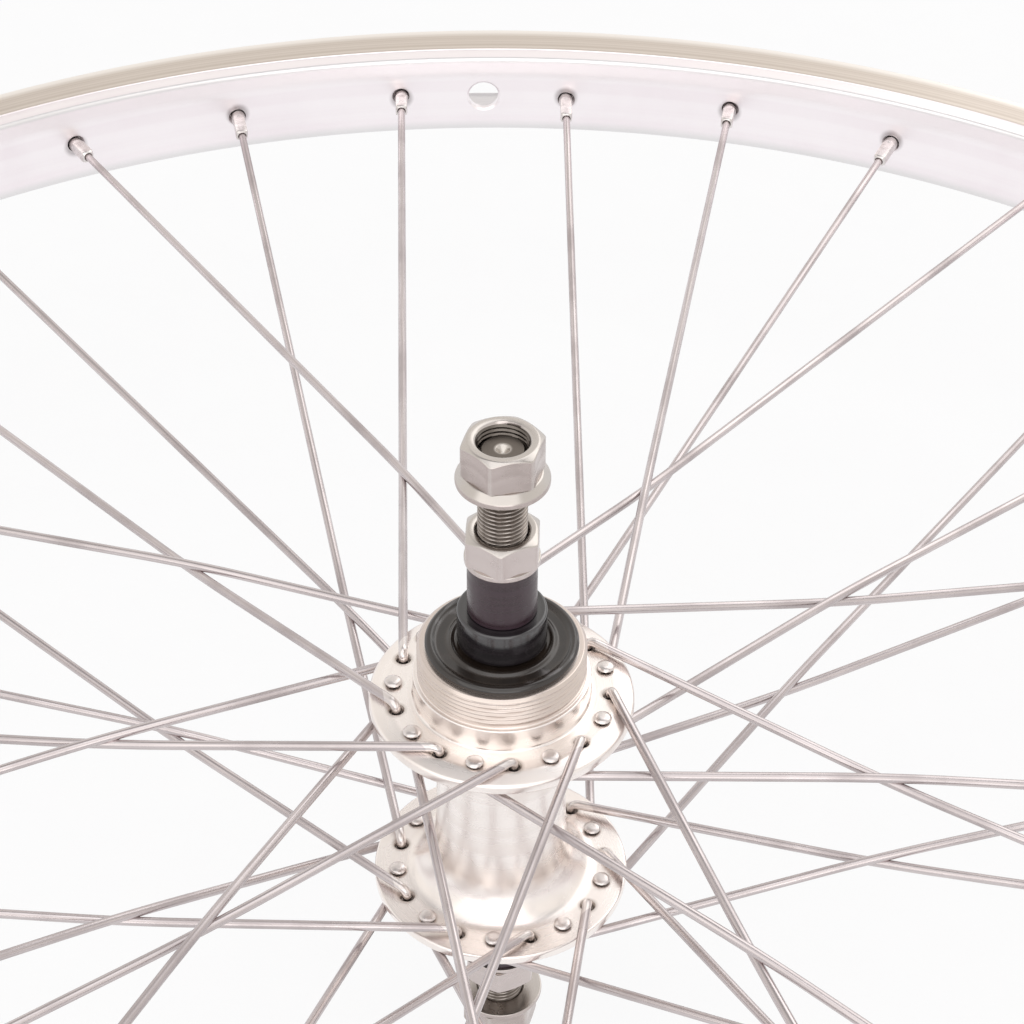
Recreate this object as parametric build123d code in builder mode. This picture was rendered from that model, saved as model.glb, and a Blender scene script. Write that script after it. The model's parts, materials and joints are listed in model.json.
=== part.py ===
from build123d import *
import os
from math import asin, cos, degrees, radians, sin, sqrt, tan

# Rear bicycle wheel of the 26 inch class: thirty-six spokes laced three-cross, a one-piece alloy hub with
# a right-hand freewheel thread, sealed bearings, a solid threaded axle and two flanged axle nuts.
# Millimetres. Z is the spin axis with the drive side up, and z = 0 is the middle plane of the rim.

# Rim
BEAD_SEAT_D = 559.0
EDGE_RISE = 5.5
RIM_DEPTH = 16.5
RIM_WIDTH = 24.0
RIM_WALL = 2.5
RIM_BED = 2.1
SPOKE_FACE_FLAT = 13.0
SHOULDER_DROP = 1.1
SHOULDER_INSET = 0.5
TRACK_HEIGHT = 10.4
TRACK_PROUD = 0.35
BEAD_HOOK = 0.7
SEAT_LEDGE = 1.5
WELL_WIDTH = 15.0
VALVE_HOLE_D = 8.5
VALVE_ANGLE = 90.0

# Lacing. The small repeated forms, such as the spoke wire, its head and its hole, have six sides each.
SMALL_SIDES = 6
SPOKES_PER_FLANGE = 18
CROSSINGS = 3
SPOKE_D = 2.0
LACE_GAP = 0.1
NIPPLE_FLATS = 3.3
NIPPLE_STAND = 9.0
NIPPLE_HEAD_D = 6.0
NIPPLE_HEAD_T = 1.8
NIPPLE_STAGGER = 0.6
NIPPLE_HOLE_GAP = 0.12
SPOKE_HEAD_D = 3.8
SPOKE_HEAD_T = 1.2
SPOKE_HOLE_D = 2.6
ELBOW_RISE = 0.7
ELBOW_CUT = 1.2

# Hub shell
DRIVE_FLANGE_Z = 20.0
LEFT_FLANGE_Z = -32.0
FLANGE_D = 55.0
FLANGE_T = 3.2
HOLE_CIRCLE_D = 45.0
FLANGE_FLAT_D = 48.0
FLANGE_BEVEL = 1.0
FLARE_D = 38.0
FLARE_H = 5.0
BARREL_END_D = 29.0
BARREL_D = 27.0
THREAD_D = 34.9
THREAD_LENGTH = 7.4
THREAD_LEAD_IN = 0.6
STOP_SHOULDER_D = 36.8
STOP_SHOULDER_H = 5.5
LEFT_BOSS_D = 32.0
LEFT_BOSS_H = 8.5
SHELL_BORE_D = 20.0

# Bearings and dust caps
BEARING_OD = 26.0
BEARING_BORE = 10.0
BEARING_WIDTH = 8.0
INNER_RACE_D = 14.2
RUNNING_GAP = 0.15
CAP_LIP_D = 31.6
CAP_LIP_T = 0.9
CAP_RIM_T = 1.5
CAP_RIM_RISE = 0.6
CAP_RIB_D = 21.2
CAP_RIB_T = 0.8
CAP_HOLE_GAP = 0.5
CAP_SEAT_GAP = 0.3

# Axle stack
OVER_LOCKNUTS = 130.0
AXLE_D = 10.0
AXLE_LENGTH = 170.0
AXLE_POINT = 0.8
COLLAR_D = 18.4
COLLAR_NECK_D = 14.0
COLLAR_LIFT = 0.4
COLLAR_ROUND = 0.6
DRIVE_COLLAR_H = 7.8
LEFT_COLLAR_H = 6.2
SLEEVE_D = 14.2
LOCK_WASHER_D = 15.4
LOCK_WASHER_T = 1.2
LOCKNUT_FLATS = 14.5
LOCKNUT_H = 6.6
NUT_FLATS = 15.0
NUT_H = 7.5
NUT_WASHER_D = 18.8
NUT_WASHER_T = 2.6
NUT_WASHER_EDGE = 1.1
NUT_WASHER_TOP_D = 15.8
NUT_BEVEL = 1.6
HEX_BEVEL_ANGLE = 30.0
NUT_ANGLE = 12.0
LOCKNUT_ANGLE = 26.0
DRIVE_DROPOUT_GAP = 12.2
LEFT_DROPOUT_GAP = 5.6
THREAD_GAP = 0.05

# Values that follow from the driving dimensions
RIM_EDGE_R = BEAD_SEAT_D / 2 + EDGE_RISE
SPOKE_FACE_R = RIM_EDGE_R - RIM_DEPTH
WELL_R = SPOKE_FACE_R + RIM_BED
RIM_STEP = 360 / (2 * SPOKES_PER_FLANGE)
CROSS_ANGLE = CROSSINGS * 2 * RIM_STEP
SET_STEP = 4 * RIM_STEP
SPOKES_PER_SET = SPOKES_PER_FLANGE // 2
SPOKE_R = SPOKE_D / 2
HOLE_CIRCLE_R = HOLE_CIRCLE_D / 2
DRIVE_STOP_Z = DRIVE_FLANGE_Z + FLANGE_T / 2 + STOP_SHOULDER_H
DRIVE_END_Z = DRIVE_STOP_Z + THREAD_LENGTH
LEFT_END_Z = LEFT_FLANGE_Z - FLANGE_T / 2 - LEFT_BOSS_H
CAP_PLUG_T = CAP_RIM_T + CAP_SEAT_GAP
DRIVE_BEARING_Z = DRIVE_END_Z - CAP_PLUG_T - BEARING_WIDTH
LEFT_BEARING_Z = LEFT_END_Z + CAP_PLUG_T + BEARING_WIDTH
AXLE_R = AXLE_D / 2
NUT_BORE_R = AXLE_R + THREAD_GAP


def polar(radius, angle, height):
    """A point at a radius and an angle in degrees round the spin axis."""
    return Vector(radius * cos(radians(angle)), radius * sin(radians(angle)), height)


def save(part, node):
    """Labels a finished piece and writes it under its own name."""
    part.label = node
    export_step(part, f"parts/{node}.step")


def turned(outline):
    """A lathe-turned piece from its (radius, height) outline."""
    with BuildPart() as piece:
        with BuildSketch(Plane.XZ):
            with BuildLine():
                Polyline(*outline, close=True)
            make_face()
        revolve(axis=Axis.Z)
    return piece.part


def ring(inner_d, outer_d, low, high):
    """A plain turned ring between two heights."""
    return turned(
        [(inner_d / 2, low), (outer_d / 2, low), (outer_d / 2, high), (inner_d / 2, high)]
    )


def spoke_route(side, face, rim_angle):
    """Corner points of one spoke's centre line, from its head to the spoke face of the rim.

    side is 1 for the drive flange and -1 for the left one, and face is 1 for a spoke that leaves from the
    flange's outer face and -1 for one that leaves from its inner face.
    """
    lean = side * face
    flange_z = DRIVE_FLANGE_Z if side > 0 else LEFT_FLANGE_Z
    hub_angle = rim_angle + lean * CROSS_ANGLE
    stand_off = FLANGE_T / 2 + SPOKE_R + ELBOW_RISE
    elbow = polar(HOLE_CIRCLE_R, hub_angle, flange_z + lean * stand_off)
    rim_end = polar(SPOKE_FACE_R, rim_angle, side * NIPPLE_STAGGER)

    # The third crossing lies half way round between the two rim holes, on the straight plan of both spokes.
    plan = Vector(rim_end.X - elbow.X, rim_end.Y - elbow.Y, 0)
    reach = (elbow.X * rim_end.Y - elbow.Y * rim_end.X) * lean * -1 / plan.length
    slant = degrees(asin(reach / SPOKE_FACE_R))
    cross_r = reach / sin(radians(RIM_STEP + slant))
    crossing = polar(cross_r, rim_angle + lean * RIM_STEP, 0)
    share = Vector(crossing.X - elbow.X, crossing.Y - elbow.Y, 0).length / plan.length

    # There the outer spoke ducks behind the inner one, and both bend a little to let the other by.
    middle = flange_z * (1 - share) + rim_end.Z * share
    crossing.Z = middle - lean * (SPOKE_R + LACE_GAP / 2)

    head = Vector(elbow.X, elbow.Y, flange_z - lean * (FLANGE_T / 2 + SPOKE_HEAD_T))
    outward = (crossing - elbow).normalized()
    bend_start = Vector(elbow.X, elbow.Y, elbow.Z - lean * ELBOW_CUT)
    bend_end = elbow + outward * ELBOW_CUT
    return [head, bend_start, bend_end, crossing, rim_end]


def spoke_solid(route):
    """One round wire spoke along its route, with a conical head, ending at the nipple's tip."""
    head, bend_start, bend_end, crossing, rim_end = route
    nipple_tip = rim_end - (rim_end - crossing).normalized() * NIPPLE_STAND
    with BuildPart() as spoke:
        with BuildLine():
            wire = Polyline(head, bend_start, bend_end, crossing, nipple_tip)
        with BuildSketch(Plane(origin=wire @ 0, z_dir=wire % 0)):
            RegularPolygon(SPOKE_R, SMALL_SIDES)
        sweep(path=wire, transition=Transition.RIGHT)
        with BuildSketch(Plane(origin=wire @ 0, z_dir=wire % 0)):
            RegularPolygon(SPOKE_HEAD_D / 2, SMALL_SIDES)
        with BuildSketch(Plane(origin=wire @ 0, z_dir=wire % 0).offset(SPOKE_HEAD_T)):
            RegularPolygon(SPOKE_R, SMALL_SIDES)
        loft(ruled=True)
    return spoke.part


def nipple_tilt(route):
    """Angle in degrees between a spoke and the rim's radius at its nipple."""
    crossing, rim_end = route[-2:]
    return (rim_end - crossing).get_angle(Vector(rim_end.X, rim_end.Y, 0))


def nipple_planes(offset):
    """Planes across every nipple, facing outwards along its spoke, at an offset from the spoke face."""
    planes = []
    for route in first_routes.values():
        crossing, rim_end = route[-2:]
        first = Plane(origin=rim_end, x_dir=(0, 0, 1), z_dir=rim_end - crossing).offset(offset)
        for turn in range(SPOKES_PER_SET):
            planes.append(Plane(Rotation(0, 0, turn * SET_STEP) * first.location))
    return planes


def hexagon_nut(flats, bore_r, side, inner_z, height, angle):
    """A hexagon nut with the corners of its outward end turned off."""
    corner_r = flats / sqrt(3)
    outer_z = inner_z + side * height
    bevel_z = outer_z - side * NUT_BEVEL * tan(radians(HEX_BEVEL_ANGLE))
    with BuildPart() as nut:
        with BuildSketch(Plane.XY.offset(min(inner_z, outer_z))):
            RegularPolygon(corner_r, 6, rotation=angle)
            Circle(bore_r, mode=Mode.SUBTRACT)
        extrude(amount=height)
        with BuildSketch(Plane.XZ):
            with BuildLine():
                Polyline(
                    (0, inner_z),
                    (corner_r, inner_z),
                    (corner_r, bevel_z),
                    (corner_r - NUT_BEVEL, outer_z),
                    (0, outer_z),
                    close=True,
                )
            make_face()
        revolve(axis=Axis.Z, mode=Mode.INTERSECT)
    return nut.part


def dust_cap(side, end_z):
    """A moulded cap pressed into the end of the hub shell, with a raised rim and one concentric rib."""
    hole_r = COLLAR_NECK_D / 2 + CAP_HOLE_GAP
    plug_r = BEARING_OD / 2
    lip_r = CAP_LIP_D / 2
    rib_r = CAP_RIB_D / 2
    inner_z = end_z - side * CAP_RIM_T
    floor_z = end_z + side * CAP_LIP_T
    crest_z = floor_z + side * CAP_RIM_RISE
    return turned(
        [
            (hole_r, inner_z),
            (plug_r, inner_z),
            (plug_r, end_z),
            (lip_r, end_z),
            (lip_r, floor_z),
            (lip_r - CAP_RIM_RISE, crest_z),
            (lip_r - CAP_RIM_T, crest_z),
            (lip_r - CAP_RIM_T - CAP_RIM_RISE, floor_z),
            (rib_r + CAP_RIB_T, floor_z),
            (rib_r, crest_z),
            (rib_r - CAP_RIB_T, floor_z),
            (hole_r, floor_z),
        ]
    )


def sealed_bearing(side, shoulder_z):
    """Outer race with its seals, and inner race, of one sealed bearing that seats on a shoulder."""
    outer_z = shoulder_z + side * BEARING_WIDTH
    seal_r = INNER_RACE_D / 2 + RUNNING_GAP
    outer_race = ring(2 * seal_r, BEARING_OD, shoulder_z, outer_z)
    inner_race = ring(BEARING_BORE, INNER_RACE_D, shoulder_z, outer_z)
    return outer_race, inner_race


def axle_end(name, side, end_z, bearing_face_z, collar_h, dropout_gap):
    """Everything threaded on one end of the axle, from the bearing outwards."""
    collar_low = end_z + side * (CAP_LIP_T + CAP_RIM_RISE + COLLAR_LIFT)
    collar_high = collar_low + side * collar_h
    locknut_face = side * OVER_LOCKNUTS / 2
    locknut_back = locknut_face - side * LOCKNUT_H
    washer_back = locknut_back - side * LOCK_WASHER_T
    save(
        turned(
            [
                (AXLE_R, bearing_face_z),
                (COLLAR_NECK_D / 2, bearing_face_z),
                (COLLAR_NECK_D / 2, collar_low),
                (COLLAR_D / 2, collar_low),
                (COLLAR_D / 2, collar_high - side * COLLAR_ROUND),
                (COLLAR_D / 2 - COLLAR_ROUND, collar_high),
                (AXLE_R, collar_high),
            ]
        ),
        f"{name}_seal_collar",
    )
    save(ring(AXLE_D, SLEEVE_D, collar_high, washer_back), f"{name}_spacer_sleeve")
    save(ring(AXLE_D, LOCK_WASHER_D, washer_back, locknut_back), f"{name}_lock_washer")
    locknut = hexagon_nut(LOCKNUT_FLATS, AXLE_R, side, locknut_back, LOCKNUT_H, LOCKNUT_ANGLE)
    save(locknut, f"{name}_locknut")

    washer_low = locknut_face + side * dropout_gap
    washer_high = washer_low + side * NUT_WASHER_T
    nut_low = washer_high + side * THREAD_GAP
    save(
        turned(
            [
                (NUT_BORE_R, washer_low),
                (NUT_WASHER_D / 2, washer_low),
                (NUT_WASHER_D / 2, washer_low + side * NUT_WASHER_EDGE),
                (NUT_WASHER_TOP_D / 2, washer_high),
                (NUT_BORE_R, washer_high),
            ]
        ),
        f"{name}_nut_washer",
    )
    axle_nut = hexagon_nut(NUT_FLATS, NUT_BORE_R, side, nut_low, NUT_H, NUT_ANGLE)
    save(axle_nut, f"{name}_axle_nut")


# The four sets of nine spokes: side, face, and the first rim hole counted in steps from the valve hole.
SPOKE_SETS = {
    "drive_outer": (1, 1, 0.5),
    "drive_inner": (1, -1, 2.5),
    "left_outer": (-1, 1, -0.5),
    "left_inner": (-1, -1, 1.5),
}
os.makedirs("parts", exist_ok=True)
first_routes = {}
for set_name, (side, face, steps) in SPOKE_SETS.items():
    first_routes[set_name] = spoke_route(side, face, VALVE_ANGLE + steps * RIM_STEP)

for set_name, route in first_routes.items():
    first_spoke = spoke_solid(route)
    for turn in range(SPOKES_PER_SET):
        save(first_spoke.rotate(Axis.Z, turn * SET_STEP), f"{set_name}_spoke_{turn + 1}")

# Nipples: square wrench flats inside the rim, and a round head that rests on the floor of the well.
steepest = max(nipple_tilt(route) for route in first_routes.values())
head_seat = RIM_BED + NIPPLE_HEAD_D / 2 * tan(radians(steepest)) + LACE_GAP / 2
with BuildPart() as nipples:
    with BuildSketch(*nipple_planes(-NIPPLE_STAND)):
        Rectangle(NIPPLE_FLATS, NIPPLE_FLATS)
    extrude(amount=NIPPLE_STAND + head_seat)
    with BuildSketch(*nipple_planes(head_seat)):
        RegularPolygon(NIPPLE_HEAD_D / 2, SMALL_SIDES)
    extrude(amount=NIPPLE_HEAD_T)
save(nipples.part, "nipples")

# Rim: one extruded alloy section bent to a hoop, drilled along each spoke and for the valve.
half_w = RIM_WIDTH / 2
seat_r = BEAD_SEAT_D / 2
track_r = RIM_EDGE_R - TRACK_HEIGHT
side_z = half_w - TRACK_PROUD
rim_half = [
    (SPOKE_FACE_R, SPOKE_FACE_FLAT / 2),
    (SPOKE_FACE_R + SHOULDER_DROP, side_z - SHOULDER_INSET),
    (SPOKE_FACE_R + SHOULDER_DROP + SHOULDER_INSET, side_z),
    (track_r - TRACK_PROUD, side_z),
    (track_r, half_w),
    (RIM_EDGE_R, half_w),
    (RIM_EDGE_R, half_w - RIM_WALL - BEAD_HOOK),
    (RIM_EDGE_R - 2 * BEAD_HOOK, half_w - RIM_WALL),
    (seat_r, half_w - RIM_WALL),
    (seat_r, half_w - RIM_WALL - SEAT_LEDGE),
    (WELL_R, WELL_WIDTH / 2),
]
hole_flats = NIPPLE_FLATS + 2 * NIPPLE_HOLE_GAP
drill_depth = RIM_BED + NIPPLE_HEAD_D
with BuildPart() as rim:
    with BuildSketch(Plane.XZ):
        with BuildLine():
            Polyline(*rim_half, *[(r, -z) for r, z in reversed(rim_half)], close=True)
        make_face()
    revolve(axis=Axis.Z)
    with BuildSketch(*nipple_planes(-NIPPLE_HEAD_D / 2)):
        Rectangle(hole_flats, hole_flats)
    extrude(amount=drill_depth, mode=Mode.SUBTRACT)
    valve_side = Plane(origin=(0, 0, 0), x_dir=(0, 0, 1), z_dir=polar(1, VALVE_ANGLE, 0))
    with BuildSketch(valve_side.offset(SPOKE_FACE_R - RIM_BED)):
        Circle(VALVE_HOLE_D / 2)
    extrude(amount=3 * RIM_BED, mode=Mode.SUBTRACT)
save(rim.part, "rim")

# Hub shell: barrel, two drilled flanges, left boss and threaded drive boss in one turned piece.
drive_top = DRIVE_FLANGE_Z + FLANGE_T / 2
drive_back = DRIVE_FLANGE_Z - FLANGE_T / 2
left_top = LEFT_FLANGE_Z + FLANGE_T / 2
left_back = LEFT_FLANGE_Z - FLANGE_T / 2
middle_z = (drive_back + left_top) / 2
with BuildPart() as hub_shell:
    with BuildSketch(Plane.XZ):
        with BuildLine():
            Polyline(
                (LEFT_BOSS_D / 2, LEFT_END_Z),
                (LEFT_BOSS_D / 2, left_back),
                (FLANGE_FLAT_D / 2, left_back),
                (FLANGE_D / 2, left_back + FLANGE_BEVEL),
                (FLANGE_D / 2, left_top),
                (FLARE_D / 2, left_top),
                (BARREL_END_D / 2, left_top + FLARE_H),
                (BARREL_D / 2, middle_z),
                (BARREL_END_D / 2, drive_back - FLARE_H),
                (FLARE_D / 2, drive_back),
                (FLANGE_D / 2, drive_back),
                (FLANGE_D / 2, drive_top - FLANGE_BEVEL),
                (FLANGE_FLAT_D / 2, drive_top),
                (STOP_SHOULDER_D / 2, drive_top),
                (STOP_SHOULDER_D / 2, DRIVE_STOP_Z),
                (THREAD_D / 2, DRIVE_STOP_Z),
                (THREAD_D / 2, DRIVE_END_Z - THREAD_LEAD_IN),
                (THREAD_D / 2 - THREAD_LEAD_IN, DRIVE_END_Z),
                (BEARING_OD / 2, DRIVE_END_Z),
                (BEARING_OD / 2, DRIVE_BEARING_Z),
                (SHELL_BORE_D / 2, DRIVE_BEARING_Z),
                (SHELL_BORE_D / 2, LEFT_BEARING_Z),
                (BEARING_OD / 2, LEFT_BEARING_Z),
                (BEARING_OD / 2, LEFT_END_Z),
                close=True,
            )
        make_face()
    revolve(axis=Axis.Z)
    for set_name, route in first_routes.items():
        head = route[0]
        with BuildSketch(Plane.XY.offset(head.Z)):
            with PolarLocations(0, SPOKES_PER_SET):
                with Locations((head.X, head.Y)):
                    RegularPolygon(SPOKE_HOLE_D / 2, SMALL_SIDES)
        extrude(amount=(SPOKE_HEAD_T + FLANGE_T + ELBOW_RISE), both=True, mode=Mode.SUBTRACT)
save(hub_shell.part, "hub_shell")

# Bearings, the tube that keeps their inner races apart, and the caps that close the shell.
for name, side, shoulder_z, end_z in (
    ("drive", 1, DRIVE_BEARING_Z, DRIVE_END_Z),
    ("left", -1, LEFT_BEARING_Z, LEFT_END_Z),
):
    outer_race, inner_race = sealed_bearing(side, shoulder_z)
    save(outer_race, f"{name}_bearing_outer_race")
    save(inner_race, f"{name}_bearing_inner_race")
    save(dust_cap(side, end_z), f"{name}_dust_cap")
save(ring(AXLE_D, INNER_RACE_D, LEFT_BEARING_Z, DRIVE_BEARING_Z), "bearing_spacer_tube")

# Axle and what is threaded on its two ends.
axle_half = AXLE_LENGTH / 2
save(
    turned(
        [
            (0, -axle_half),
            (AXLE_R - AXLE_POINT, -axle_half),
            (AXLE_R, AXLE_POINT - axle_half),
            (AXLE_R, axle_half - AXLE_POINT),
            (AXLE_R - AXLE_POINT, axle_half),
            (0, axle_half),
        ]
    ),
    "axle",
)
drive_race_z = DRIVE_BEARING_Z + BEARING_WIDTH
left_race_z = LEFT_BEARING_Z - BEARING_WIDTH
axle_end("drive", 1, DRIVE_END_Z, drive_race_z, DRIVE_COLLAR_H, DRIVE_DROPOUT_GAP)
axle_end("left", -1, LEFT_END_Z, left_race_z, LEFT_COLLAR_H, LEFT_DROPOUT_GAP)
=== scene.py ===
# %% [markdown]
# # A spoked bicycle wheel
# The imported solids of a rear bicycle wheel are the fixed frame of this lesson: a rim, thirty-six spokes, a
# flanged hub and the stack of small parts on its axle. Each step dresses one of them. The frame is in
# metres, with the spin axis along Z, the drive side up and the valve hole at +Y.

# %% Load the frame
import json
from math import asin, cos, degrees, pi, radians, sin, tan

import bmesh
import bpy
import numpy as np
from mathutils import Matrix, Vector


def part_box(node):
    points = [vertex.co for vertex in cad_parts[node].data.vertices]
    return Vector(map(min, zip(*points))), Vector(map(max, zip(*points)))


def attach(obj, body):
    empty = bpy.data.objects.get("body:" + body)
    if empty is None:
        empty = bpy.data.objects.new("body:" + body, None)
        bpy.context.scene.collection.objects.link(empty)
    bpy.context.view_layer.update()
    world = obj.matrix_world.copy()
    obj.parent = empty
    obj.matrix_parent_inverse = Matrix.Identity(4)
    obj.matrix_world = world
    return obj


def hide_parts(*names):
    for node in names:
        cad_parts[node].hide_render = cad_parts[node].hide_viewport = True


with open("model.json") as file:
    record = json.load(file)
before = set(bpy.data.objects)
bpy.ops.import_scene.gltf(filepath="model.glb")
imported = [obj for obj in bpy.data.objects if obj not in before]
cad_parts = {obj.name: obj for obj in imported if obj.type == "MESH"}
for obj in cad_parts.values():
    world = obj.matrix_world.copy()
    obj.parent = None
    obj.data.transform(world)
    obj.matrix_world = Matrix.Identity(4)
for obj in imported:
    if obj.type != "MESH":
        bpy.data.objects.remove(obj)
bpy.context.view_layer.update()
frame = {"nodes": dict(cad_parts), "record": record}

scene = bpy.context.scene
MM = 0.001


def show(name, data):
    """A new object in the scene."""
    made = bpy.data.objects.new(name, data)
    scene.collection.objects.link(made)
    return made


def mesh_of(name, points, faces):
    """A new mesh of points and faces."""
    mesh = bpy.data.meshes.new(name)
    mesh.from_pydata(points, [], faces)
    return mesh


# %% [markdown]
# ## Who carries what
# Every piece rides on a body of the frame. The record lists bodies and finish slots by node, so two small
# tables save repeating them by hand.

# %% Bodies and slots by node
bodies = frame["record"]["behaviour"]["bodies"]
body_of_node = {node: body for body, nodes in bodies.items() for node in nodes}
slot_of_node = {row["node"]: row["material_slot"] for row in frame["record"]["subparts"]}
print(len(body_of_node), "nodes on", len(bodies), "bodies,", len(set(slot_of_node.values())), "finishes")

# %% [markdown]
# ## Camera
# The photograph looks down on the drive side from the front, with a long lens from close by: the hub fills
# the lower half and only the far half of the rim shows. Position, direction and lens were fitted to the
# spoke lines and the ends of the axle. A matrix of right, up and backward vectors sets the camera exactly,
# which is safer than Euler angles.

# %% Camera at the photograph's angle
CAMERA_PLACE = Vector((-9.474, -420.737, 419.630)) * MM
CAMERA_FORWARD = Vector((0.02065, 0.76817, -0.63991))
CAMERA_UP = Vector((0.00912, 0.63988, 0.76843))
LENS_MM = 98.4
SENSOR_MM = 36.0
NEAREST_M = 0.01

camera_data = bpy.data.cameras.new("photo_camera")
camera_data.lens = LENS_MM
camera_data.sensor_width = SENSOR_MM
camera_data.clip_start = NEAREST_M
camera = show("photo_camera", camera_data)
forward = CAMERA_FORWARD.normalized()
right = forward.cross(CAMERA_UP).normalized()
turned = Matrix((right, right.cross(forward), -forward)).transposed().to_4x4()
camera.matrix_world = Matrix.Translation(CAMERA_PLACE) @ turned
scene.camera = camera
scene.view_settings.view_transform = "Standard"
print("camera stands", round(CAMERA_PLACE.length, 3), "m from the middle of the hub")

# %% [markdown]
# ## Node helpers
# A material is a small program of nodes. A few helpers keep it short: they make a node and fill its inputs
# with values or links, do sums, mix colours by a mask and move a value to another range.

# %% Helpers for node trees
NOISE_RANGE = (0.3, 0.7)


def plug(tree, socket, value):
    """Links a socket or sets a plain value."""
    if isinstance(value, bpy.types.NodeSocket):
        tree.links.new(value, socket)
    else:
        socket.default_value = value


def add_node(tree, kind, settings=(), inputs=()):
    """A new shader node of a kind with its settings, and its inputs by name or number."""
    made = tree.nodes.new(f"ShaderNode{kind}")
    for key, value in dict(settings).items():
        setattr(made, key, value)
    for key, value in dict(inputs).items():
        plug(tree, made.inputs[key], value)
    return made


def calc(tree, operation, *values):
    """The result of one sum."""
    return add_node(tree, "Math", {"operation": operation}, enumerate(values)).outputs[0]


def times(tree, first, second):
    """Two values multiplied."""
    return calc(tree, "MULTIPLY", first, second)


def mix_colour(tree, mask, first, second):
    """A colour between two by a mask."""
    made = add_node(tree, "Mix", {"data_type": "RGBA"}, {0: mask, 6: first, 7: second})
    return made.outputs[2]


def spread(tree, value, low, high, new_low=0.0, new_high=1.0):
    """A value moved from one range to another, with soft ends."""
    settings = {"interpolation_type": "SMOOTHSTEP"}
    inputs = enumerate((value, low, high, new_low, new_high))
    return add_node(tree, "MapRange", settings, inputs).outputs[0]


def rgb(red, green, blue):
    """A colour for a node's socket."""
    return (red, green, blue, 1.0)


print("node helpers ready, noise mostly lies within", NOISE_RANGE)

# %% [markdown]
# ## Studio light
# The photograph is a high-key shot: white paper below and behind, and light from all round, with hardly
# any shadow. So the world is plain white for the camera. Bright metal shows what it mirrors, so for glossy
# rays the world has a warm-grey band above the horizon and a darker ceiling, as a real room has. Four
# softboxes, written as place, size and watts, give the form. On metal that faces up, lamps and mirrored
# room add up, so the ceiling is dark enough that no written colour is bleached.

# %% World
ROOM_WHITE = rgb(1.0, 1.0, 1.0)
ROOM_BAND = rgb(0.97, 0.94, 0.90)
ROOM_CEILING = rgb(0.45, 0.44, 0.44)
ROOM_FILL = rgb(0.58, 0.57, 0.57)
BAND_RISE = (0.12, 0.42)
CEILING_RISE = (0.62, 0.95)


def ray_masks(tree):
    """1 for rays of the camera, and 1 for rays that a mirror or a clear piece sends on."""
    path = add_node(tree, "LightPath").outputs
    sent_on = calc(tree, "MAXIMUM", path["Is Glossy Ray"], path["Is Transmission Ray"])
    return path["Is Camera Ray"], sent_on


world = bpy.data.worlds.new("paper_studio")
scene.world = world
world.use_nodes = True
room = world.node_tree
room.nodes.clear()
direction = add_node(room, "TexCoord").outputs["Generated"]
rise = add_node(room, "SeparateXYZ", (), {0: direction}).outputs["Z"]
mirrored = mix_colour(room, spread(room, rise, *BAND_RISE), ROOM_WHITE, ROOM_BAND)
mirrored = mix_colour(room, spread(room, rise, *CEILING_RISE), mirrored, ROOM_CEILING)
camera_ray, mirror_ray = ray_masks(room)
seen = mix_colour(room, mirror_ray, ROOM_FILL, mirrored)
seen = mix_colour(room, camera_ray, seen, ROOM_WHITE)
background = add_node(room, "Background", (), {"Color": seen, "Strength": 1.0})
add_node(room, "OutputWorld", (), {"Surface": background.outputs[0]})
print("world:", len(room.nodes), "nodes")

# %% Lamps
LAMPS = {
    "key_softbox": ((-0.25, -0.85, 1.10), 2.2, 9.8),
    "overhead_softbox": ((0.0, -0.20, 1.20), 0.8, 1.0),
    "low_front_softbox": ((0.05, -1.15, 0.12), 0.8, 1.6),
    "fill_softbox": ((0.60, 0.70, 1.00), 1.1, 3.6),
}
for name, (place, size, watts) in LAMPS.items():
    light = bpy.data.lights.new(name, "AREA")
    light.size = size
    light.energy = watts
    lamp = show(name, light)
    lamp.location = place
    lamp.rotation_euler = Vector(place).to_track_quat("Z", "Y").to_euler()
    lamp.visible_camera = False
    print(name, "of", size, "m and", watts, "W")

# %% [markdown]
# ## Paper floor
# The ground of the photograph is white paper. A white diffuse floor would render as pale grey, so for
# camera and mirror rays most of it is emission of strength 1, and the rest stays diffuse and keeps a faint
# shadow. It lies 11 mm below the axle's end, clear of the lowest point that the left nut reaches.

# %% Floor
FLOOR_Z = -0.096
FLOOR_SIZE = 12.0
PAPER_GLOW = 0.86
PAPER_WHITE = rgb(0.92, 0.91, 0.92)
FIBRE_WHITE = rgb(0.95, 0.94, 0.95)

paper = bpy.data.materials.new("white_paper")
paper.use_nodes = True
tree = paper.node_tree
tree.nodes.clear()
grain = add_node(tree, "TexNoise", (), {"Scale": 900.0, "Detail": 2.0}).outputs[0]
fibre = mix_colour(tree, spread(tree, grain, *NOISE_RANGE), PAPER_WHITE, FIBRE_WHITE)
matt = add_node(tree, "BsdfDiffuse", (), {"Color": fibre})
glow = add_node(tree, "Emission", (), {"Color": ROOM_WHITE, "Strength": 1.0})
share = times(tree, calc(tree, "MAXIMUM", *ray_masks(tree)), PAPER_GLOW)
blend = add_node(tree, "MixShader", (), {0: share, 1: matt.outputs[0], 2: glow.outputs[0]})
add_node(tree, "OutputMaterial", (), {"Surface": blend.outputs[0]})

half = FLOOR_SIZE / 2
corners = [(x, y, FLOOR_Z) for x, y in ((-half, -half), (half, -half), (half, half), (-half, half))]
floor = show("paper_floor", mesh_of("paper_floor", corners, [(0, 1, 2, 3)]))
floor.data.materials.append(paper)
print("floor at", FLOOR_Z, "m")

# %% [markdown]
# ## Shared surface effects
# Turned, drawn and handled metal has a few marks in common, and each is one node group that every material
# places with its own values. Turning marks are fine rings left by a lathe tool: noise along radius plus
# height gives rings round the axis without any seam.

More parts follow.
